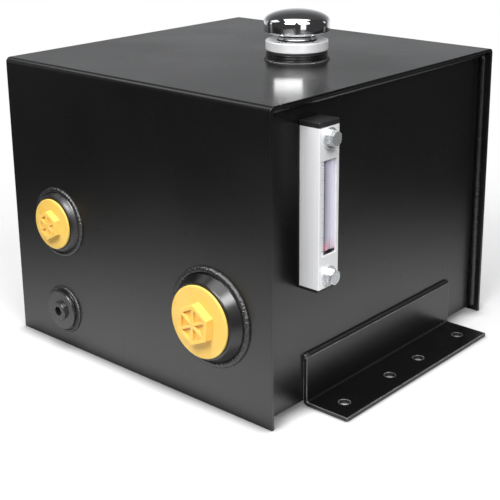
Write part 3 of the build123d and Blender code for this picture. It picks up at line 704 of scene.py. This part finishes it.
def bead_tree():
    """Ripples of weld along a path: overlapping blobs, turned to the path, each a little different."""
    tree = new_tree("weld_ripples", "Path", {"Pitch": 1.5 * MM, "Bead Radius": 3 * MM}, "Bead")
    way_in = add_node(tree, "NodeGroupInput")
    way_out = add_node(tree, "NodeGroupOutput")
    to_curve = add_node(tree, "GeometryNodeMeshToCurve")
    points = add_node(tree, "GeometryNodeResampleCurve", mode="LENGTH")
    tangent = add_node(tree, "GeometryNodeInputTangent")
    align = add_node(tree, "FunctionNodeAlignRotationToVector", axis="X")
    ripple = add_node(tree, "GeometryNodeMeshUVSphere", {"Segments": 12, "Rings": 8, "Radius": 1.0})
    size = add_node(tree, "FunctionNodeRandomValue",
                    {"Min": (0.62, 0.92, 0.92), "Max": (0.78, 1.06, 1.06), "Seed": 7},
                    data_type="FLOAT_VECTOR")
    scaled = add_node(tree, "ShaderNodeVectorMath", operation="SCALE")
    place = add_node(tree, "GeometryNodeInstanceOnPoints")
    smooth = add_node(tree, "GeometryNodeSetShadeSmooth")
    real = add_node(tree, "GeometryNodeRealizeInstances")
    paint = add_node(tree, "GeometryNodeSetMaterial")
    link_all(tree, [
        (way_in, "Path", to_curve, "Mesh"), (to_curve, "Curve", points, "Curve"),
        (way_in, "Pitch", points, "Length"), (tangent, "Tangent", align, "Vector"),
        (points, "Curve", place, "Points"), (ripple, "Mesh", smooth, "Geometry"),
        (smooth, "Geometry", place, "Instance"), (align, "Rotation", place, "Rotation"),
        (size, "Value", scaled, "Vector"), (way_in, "Bead Radius", scaled, "Scale"),
        (scaled, "Vector", place, "Scale"), (place, "Instances", real, "Geometry"),
        (real, "Geometry", paint, "Geometry"), (way_in, "Finish", paint, "Material"),
        (paint, "Geometry", way_out, "Bead"),
    ])
    return tree


def path_object(name, points, closed):
    """A mesh of edges that geometry nodes follow."""
    data = bpy.data.meshes.new(name)
    last = len(points) if closed else len(points) - 1
    data.from_pydata(points, [(step, (step + 1) % len(points)) for step in range(last)], [])
    return in_scene(name, data)


def grown(path, tree, values):
    """Run a tree on a path, and turn its result into the path's own plain mesh."""
    modifier = path.modifiers.new("grown", "NODES")
    modifier.node_group = tree
    for name, value in values.items():
        modifier[socket_identifier(tree, name)] = value
    graph = bpy.context.evaluated_depsgraph_get()
    result = bpy.data.meshes.new_from_object(path.evaluated_get(graph), depsgraph=graph)
    path.modifiers.clear()
    path.data = result


RING_STEPS = 180
# a round bead's line, radius and pitch, as shares of its fillet's leg
BUNG_BEAD = (0.50, 0.92, 0.36)
RISER_BEAD = (0.25, 0.75, 0.5)
SEAM_INSET = 2.0 * MM
SEAM_CORNER = 4.0 * MM
SEAM_OFFSET = 2.4 * MM  # outward from the weld node's inner face
SEAM_RADIUS = 3.6 * MM
SEAM_PITCH = 0.9 * MM
ANGLE_OFFSET = 0.8 * MM
ANGLE_LIFT = 0.4 * MM
ANGLE_RADIUS = 2.8 * MM
ANGLE_PITCH = 1.5 * MM
KNOT_STEPS = (-0.4 * MM, 1.4 * MM, 3.2 * MM)  # along the angle from its bead's front end
KNOT_RADIUS = 3.1 * MM
KNOT_PITCH = 1.2 * MM


def weld_bead(name, tree, points, closed, radius, pitch, finish, *replaced):
    """A rippled bead of weld on the tank, along a path of points."""
    path = path_object(name, points, closed)
    grown(path, tree, {"Pitch": pitch, "Bead Radius": radius, "Finish": finish})
    register(path, "tank", "weld", *replaced)


def circle_points(centre, radius, axis):
    """Points of a circle about Y or Z."""
    points = []
    for angle in full_turn(RING_STEPS):
        along, up = radius * math.cos(angle), radius * math.sin(angle)
        points.append(centre + (Vector((along, 0, up)) if axis == "Y" else Vector((along, up, 0))))
    return points


def ring_bead(part, tree, centre, axis, shares, finish):
    """The rippled bead round a part's foot, in place of its plain fillet weld."""
    base = half_width(*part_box(part))
    leg = half_width(*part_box(f"{part}_weld")) - base
    line, radius, pitch = (share * leg for share in shares)
    points = circle_points(centre, base + line, axis)
    weld_bead(f"{part}_bead", tree, points, True, radius, pitch, finish, f"{part}_weld")


def round_beads(tree, finish):
    """The beads round each bung and round the filler's riser."""
    for bung in ("suction_bung", "return_bung", "drain_bung"):
        ring_bead(bung, tree, axis_place(*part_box(f"{bung}_weld")), "Y", BUNG_BEAD, finish)
    ring_bead("filler_riser", tree, FILLER, "Z", RISER_BEAD, finish)


def seam_beads(tree, finish, dull, coat):
    """The beads inside the wrapper's edges and along each angle, with a knot at the angle's front end."""
    for word in ("right", "left"):
        outward = 1 if word == "right" else -1
        weld = f"end_seam_weld_{word}"
        low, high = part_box(weld)
        x = (low.x if outward > 0 else high.x) + outward * SEAM_OFFSET
        front, back, top = low.y + SEAM_INSET, high.y - SEAM_INSET, high.z - SEAM_INSET
        side = top - SEAM_CORNER
        line = [(front, low.z), (front, side), (front + SEAM_CORNER, top),
                (back - SEAM_CORNER, top), (back, side), (back, low.z)]
        points = [Vector((x, y, z)) for y, z in line]
        weld_bead(f"end_seam_bead_{word}", tree, points, False, SEAM_RADIUS, SEAM_PITCH, coat, weld)
        weld = f"angle_weld_{word}"
        low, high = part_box(weld)
        x = (low.x if outward > 0 else high.x) + outward * ANGLE_OFFSET
        points = [Vector((x, y, low.z + ANGLE_LIFT)) for y in (low.y, high.y)]
        weld_bead(f"angle_bead_{word}", tree, points, False, ANGLE_RADIUS, ANGLE_PITCH, dull, weld)
        knot = [points[0] + Vector((0, step, 0)) for step in KNOT_STEPS]
        weld_bead(f"angle_knot_{word}", tree, knot, False, KNOT_RADIUS, KNOT_PITCH, finish)


TICK_PITCH = 2.6 * MM
TICK_THICKNESS = 0.2 * MM
TICK_PROUD = 0.05 * MM  # how far the marks' middles stand off the strip
TICK_INSET = 1.4 * MM  # from the strip's rear edge
TICK_MARGIN = 6 * MM  # from the strip's ends


def tick_tree():
    """Printed marks up a scale: short bars, every fifth one long."""
    sizes = {"Pitch": 3 * MM, "Short Bar": 1.2 * MM, "Long Bar": 2.4 * MM, "Bar Height": 0.5 * MM}
    tree = new_tree("scale_ticks", "Line", sizes, "Ticks")
    way_in = add_node(tree, "NodeGroupInput")
    way_out = add_node(tree, "NodeGroupOutput")
    to_curve = add_node(tree, "GeometryNodeMeshToCurve")
    points = add_node(tree, "GeometryNodeResampleCurve", mode="LENGTH")
    bar = add_node(tree, "GeometryNodeMeshCube")
    index = add_node(tree, "GeometryNodeInputIndex")
    fifth = add_node(tree, "ShaderNodeMath", {1: 5.0}, operation="MODULO")
    is_long = add_node(tree, "FunctionNodeCompare", {"B": 0.5}, data_type="FLOAT", operation="LESS_THAN")
    length = add_node(tree, "GeometryNodeSwitch", input_type="FLOAT")
    scale = add_node(tree, "ShaderNodeCombineXYZ", {"X": TICK_THICKNESS})
    place = add_node(tree, "GeometryNodeInstanceOnPoints")
    real = add_node(tree, "GeometryNodeRealizeInstances")
    paint = add_node(tree, "GeometryNodeSetMaterial")
    link_all(tree, [
        (way_in, "Line", to_curve, "Mesh"), (to_curve, "Curve", points, "Curve"),
        (way_in, "Pitch", points, "Length"),
        (index, "Index", fifth, 0), (fifth, "Value", is_long, "A"), (is_long, "Result", length, "Switch"),
        (way_in, "Short Bar", length, "False"), (way_in, "Long Bar", length, "True"),
        (length, "Output", scale, "Y"), (way_in, "Bar Height", scale, "Z"),
        (points, "Curve", place, "Points"), (bar, "Mesh", place, "Instance"),
        (scale, "Vector", place, "Scale"), (place, "Instances", real, "Geometry"),
        (real, "Geometry", paint, "Geometry"), (way_in, "Finish", paint, "Material"),
        (paint, "Geometry", way_out, "Ticks"),
    ])
    return tree


def scale_ticks(finish):
    """The marks on the gauge's strip."""
    low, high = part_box("gauge_scale")
    ends = (low.z + TICK_MARGIN, high.z - TICK_MARGIN)
    points = [Vector((high.x + TICK_PROUD, high.y - TICK_INSET, z)) for z in ends]
    line = path_object("gauge_ticks", points, False)
    grown(line, tick_tree(), {"Pitch": TICK_PITCH, "Finish": finish})
    register(line, "tank", "white_plastic")


# ---------------------------------------------------------------- stage
FLOOR_RADIUS = 3.0
FLOOR_SOLID = 0.05  # radius inside which the floor is solid
FLOOR_CLEAR = 0.75  # radius past which it is clear
# how far the floor's painted contact shadow reaches
CONTACT_SHADOW_REACH = 22 * MM
STUDIO_DIM = 0.05
GLOW_AZIMUTH = (-139.0, 30.0, 62.0)  # degrees: middle, full within, none past
SKY_LOW, SKY_HIGH = -0.2, 1.0  # sines of elevation
# sine of elevation, brightness of the glow
SKY_STOPS = [
    (SKY_LOW, 0.90), (0.10, 0.62), (0.165, 0.47), (0.21, 0.38), (0.35, 0.18), (0.60, 0.04), (SKY_HIGH, 0.02),
]
PANEL_SOFT_EDGE = 0.03
# azimuth and half width in degrees, lowest and highest sine of elevation, brightness
STUDIO_PANELS = [
    (62.0, 9.0, -0.25, 0.45, 1.3), (22.0, 12.0, 0.32, 0.50, 1.2), (-61.0, 4.0, -0.12, 0.35, 1.0),
    (-86.0, 3.0, -0.12, 0.35, 0.6), (152.0, 4.0, -0.05, 0.40, 1.0),
]
CAMERA_PLACE = (0.76299, -0.85182, 0.50278)
CAMERA_AZIMUTH = 41.139
CAMERA_ELEVATION = 16.834
CAMERA_ROLL = -0.373
CAMERA_LENS = 80.73
CAMERA_SENSOR = 36.0
CAMERA_SHIFT = (-0.0347, -0.1361)


def floor():
    """A pale floor that is solid under the object and clears away into the pale backdrop, with a painted
    contact shadow near the tank.
    """
    mesh = bmesh.new()
    bmesh.ops.create_circle(mesh, cap_ends=True, segments=96, radius=FLOOR_RADIUS)
    material = new_material("pale_floor", (0.80, 0.80, 0.80), 0.9, Specular_IOR_Level=0.0)
    tree = material.node_tree
    # painted contact shadow: the floor is painted dark where the tank stands close over it
    contact = add_node(tree, "ShaderNodeAmbientOcclusion", {"Distance": CONTACT_SHADOW_REACH}, samples=8)
    unshadowed_share = spread(tree, contact.outputs["AO"], 0.3, 0.7, 0.45, 0.97)
    drive(material, "Base Color", tint(tree, unshadowed_share, (0.10, 0.10, 0.10), (0.80, 0.80, 0.80)))
    distance = add_node(tree, "ShaderNodeVectorMath", operation="LENGTH")
    tree.links.new(place_vector(tree), distance.inputs[0])
    fade = smooth_step(tree, distance.outputs["Value"], FLOOR_SOLID, FLOOR_CLEAR)
    clear = add_node(tree, "ShaderNodeBsdfTransparent")
    mix = shader_mix(tree, fade, tree.nodes["Principled BSDF"].outputs["BSDF"], clear.outputs["BSDF"])
    tree.links.new(mix, tree.nodes["Material Output"].inputs["Surface"])
    plane = mesh_object("floor", mesh, material)


def sky_levels(tree, height):
    """Brightness of the backdrop behind the tank at heights above the horizon (sines of elevation)."""
    place = spread(tree, height, 0.0, 1.0, SKY_LOW, SKY_HIGH)
    ramp = add_node(tree, "ShaderNodeValToRGB")
    elements = ramp.color_ramp.elements
    while len(elements) < len(SKY_STOPS):
        elements.new(0.5)
    for element, (sine, level) in zip(elements, SKY_STOPS):
        element.position = (sine - SKY_LOW) / (SKY_HIGH - SKY_LOW)
        element.color = (level, level, level, 1)
    tree.links.new(place, ramp.inputs["Fac"])
    return ramp.outputs["Color"]


def multiplied(tree, *values):
    """The product of sockets and plain numbers."""
    product = values[0]
    for value in values[1:]:
        times = add_node(tree, "ShaderNodeMath", operation="MULTIPLY")
        for socket, source in zip(times.inputs, (product, value)):
            if isinstance(source, float):
                socket.default_value = source
            else:
                tree.links.new(source, socket)
        product = times.outputs["Value"]
    return product


def toward(tree, level_direction, azimuth, near, far):
    """1 within near degrees of an azimuth, 0 past far degrees."""
    turn = math.radians(azimuth)
    facing = (math.sin(turn), -math.cos(turn), 0)
    dot = add_node(tree, "ShaderNodeVectorMath", {1: facing}, operation="DOT_PRODUCT")
    tree.links.new(level_direction, dot.inputs[0])
    return smooth_step(tree, dot.outputs["Value"], math.cos(math.radians(far)), math.cos(math.radians(near)))


def between(tree, value, low, high):
    """1 between two values, with soft edges."""
    soft = PANEL_SOFT_EDGE
    return multiplied(tree, smooth_step(tree, value, low - soft, low + soft),
                      smooth_step(tree, value, high + soft, high - soft))


def backdrop():
    """A white backdrop that reflects as a dim studio, bright behind the tank and with a few lit panels."""
    world = bpy.data.worlds.new("studio")
    bpy.context.scene.world = world
    world.use_nodes = True
    tree = world.node_tree
    tree.nodes.clear()
    direction = add_node(tree, "ShaderNodeTexCoord")
    parts = add_node(tree, "ShaderNodeSeparateXYZ")
    tree.links.new(direction.outputs["Generated"], parts.inputs["Vector"])
    flat = add_node(tree, "ShaderNodeVectorMath", {1: (1, 1, 0)}, operation="MULTIPLY")
    tree.links.new(direction.outputs["Generated"], flat.inputs[0])
    level = add_node(tree, "ShaderNodeVectorMath", operation="NORMALIZE")
    tree.links.new(flat.outputs["Vector"], level.inputs[0])
    height = parts.outputs["Z"]
    level = level.outputs["Vector"]
    glows = [multiplied(tree, sky_levels(tree, height), toward(tree, level, *GLOW_AZIMUTH))]
    for azimuth, half, low, high, power in STUDIO_PANELS:
        glows.append(multiplied(tree, toward(tree, level, azimuth, half - 1, half + 1),
                                between(tree, height, low, high), power))
    total = add_node(tree, "ShaderNodeValue").outputs["Value"]
    total.default_value = STUDIO_DIM
    for glow in glows:
        plus = add_node(tree, "ShaderNodeMath", operation="ADD")
        tree.links.new(total, plus.inputs[0])
        tree.links.new(glow, plus.inputs[1])
        total = plus.outputs["Value"]
    dim = add_node(tree, "ShaderNodeBackground")
    tree.links.new(total, dim.inputs["Strength"])
    white = add_node(tree, "ShaderNodeBackground", {"Strength": 1.0})
    dim.inputs["Color"].default_value = (0.97, 0.98, 1.0, 1)
    white.inputs["Color"].default_value = (1, 1, 1, 1)
    seen = add_node(tree, "ShaderNodeLightPath")
    output = add_node(tree, "ShaderNodeOutputWorld")
    mix = shader_mix(tree, seen.outputs["Is Camera Ray"], dim.outputs["Background"],
                     white.outputs["Background"])
    tree.links.new(mix, output.inputs["Surface"])


TANK_MIDDLE = (0, 0, 0.15)
GLINT_PLACE = (0.136, -0.105, DECK)


def heading(azimuth, elevation):
    """The direction at an azimuth from the front, towards +X, and an elevation, both in degrees."""
    turn, rise = math.radians(azimuth), math.radians(elevation)
    return Vector((math.sin(turn) * math.cos(rise), -math.cos(turn) * math.cos(rise), math.sin(rise)))


def softbox(name, azimuth, elevation, distance, size, power, target=TANK_MIDDLE):
    """A soft light at an azimuth and elevation about a target, facing it."""
    data = bpy.data.lights.new(name, "AREA")
    data.shape = "RECTANGLE"
    data.size, data.size_y = size
    data.energy = power
    light = in_scene(name, data)
    away = heading(azimuth, elevation)
    light.location = Vector(target) + away * distance
    light.rotation_euler = (-away).to_track_quat("-Z", "Y").to_euler()
    light.visible_camera = False


def lights():
    """Softboxes in front, beside, above and to the left, and a small lamp for the glint on the deck."""
    softbox("key_box", 14, 44, 1.7, (0.8, 0.6), 30)
    softbox("side_box", 70, 46, 1.7, (0.9, 0.6), 20)
    softbox("top_box", 30, 86, 1.9, (1.4, 1.4), 16)
    softbox("left_box", -65, 46, 1.7, (0.7, 0.7), 2.2)
    softbox("filler_glint", -140, 12, 0.05, (0.026, 0.012), 0.0035, GLINT_PLACE)


# where the card that paints a shadow beside the gauge stands
CARD_GAP = 0.6 * MM
CARD_DROP = 2 * MM


def gauge_shadow_card():
    """A dark card along the gauge's front side, seen only in reflections: it paints a shadow into the panel's
    reflection beside the gauge.
    """
    low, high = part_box("gauge_housing")
    bottom = low.z - CARD_DROP
    mesh = bmesh.new()
    corners = [(low.x, bottom), (high.x, bottom), (high.x, high.z), (low.x, high.z)]
    mesh.faces.new([mesh.verts.new((x, low.y - CARD_GAP, z)) for x, z in corners])
    material = new_material("painted_shadow_black", (0.05, 0.05, 0.05), 1.0, Specular_IOR_Level=0.0)
    tree = material.node_tree
    parts = add_node(tree, "ShaderNodeSeparateXYZ")
    tree.links.new(place_vector(tree), parts.inputs["Vector"])
    # painted shadow: the card is darker towards its bottom, so the panel beside the gauge reflects darkest
    # low down
    rise = spread(tree, parts.outputs["Z"], 0.0, 1.0, low.z, high.z)
    drive(material, "Base Color", tint(tree, rise, (0.03, 0.03, 0.03), (0.15, 0.15, 0.15)))
    card = mesh_object("gauge_shadow_card", mesh, material)
    card.visible_camera = False
    card.visible_shadow = False
    card.visible_diffuse = False


def camera():
    """The main view, from the front and right, a little above the deck."""
    data = bpy.data.cameras.new("camera")
    data.lens = CAMERA_LENS
    data.sensor_width = CAMERA_SENSOR
    data.shift_x, data.shift_y = CAMERA_SHIFT
    turn, roll = math.radians(CAMERA_AZIMUTH), math.radians(CAMERA_ROLL)
    back = heading(CAMERA_AZIMUTH, CAMERA_ELEVATION)
    right = Vector((math.cos(turn), math.sin(turn), 0))
    up = back.cross(right)
    rolled_right = math.cos(roll) * right + math.sin(roll) * up
    rolled_up = -math.sin(roll) * right + math.cos(roll) * up
    view = in_scene("camera", data)
    axes = Matrix((rolled_right, rolled_up, back)).transposed()
    view.matrix_world = Matrix.Translation(CAMERA_PLACE) @ axes.to_4x4()
    bpy.context.scene.camera = view


camera()
floor()
backdrop()
lights()
gauge_shadow_card()
bpy.context.scene.view_settings.view_transform = "Standard"

finishes = make_finishes()
# the angles' coat: a strong painted highlight along the plates' edges
plate_coat = powder_coat("plate_coat", edge_highlight_color=(0.42, 0.42, 0.43), edge=0.0009, edge_highlight_reach=0.0017)
bung_coat = powder_coat("bung_coat", low=0.34, high=0.42)
finish_cad_nodes(finishes, {
    "mounting_angle_right": plate_coat, "mounting_angle_left": plate_coat, "gauge_lens": lens_plastic(),
    "thermometer_glass": thermometer_shadow_glass(),
    "drain_plug": black_plastic("drain_plastic", low=0.22, high=0.32, grain=0.12, gloss=0.9),
})
plated_dome(finishes["chrome"])
bung_skirt("suction", face_radius=36.0 * MM, bulge=0.3 * MM, finish=bung_coat)
bung_skirt("return", face_radius=27.0 * MM, bulge=0.9 * MM, finish=bung_coat)
moulded_plug("suction", boss_radius=20.6 * MM, boss_height=8.6 * MM, turn=26, shank=29.9 * MM,
             finish=finishes["yellow_plastic"])
moulded_plug("return", boss_radius=15.5 * MM, boss_height=6.5 * MM, turn=30, shank=20.9 * MM,
             finish=finishes["yellow_plastic"])
ripples = bead_tree()
round_beads(ripples, finishes["weld"])
seam_beads(ripples, finishes["weld"], dull_weld(), finishes["powder_coat"])
scale_ticks(finishes["ink"])
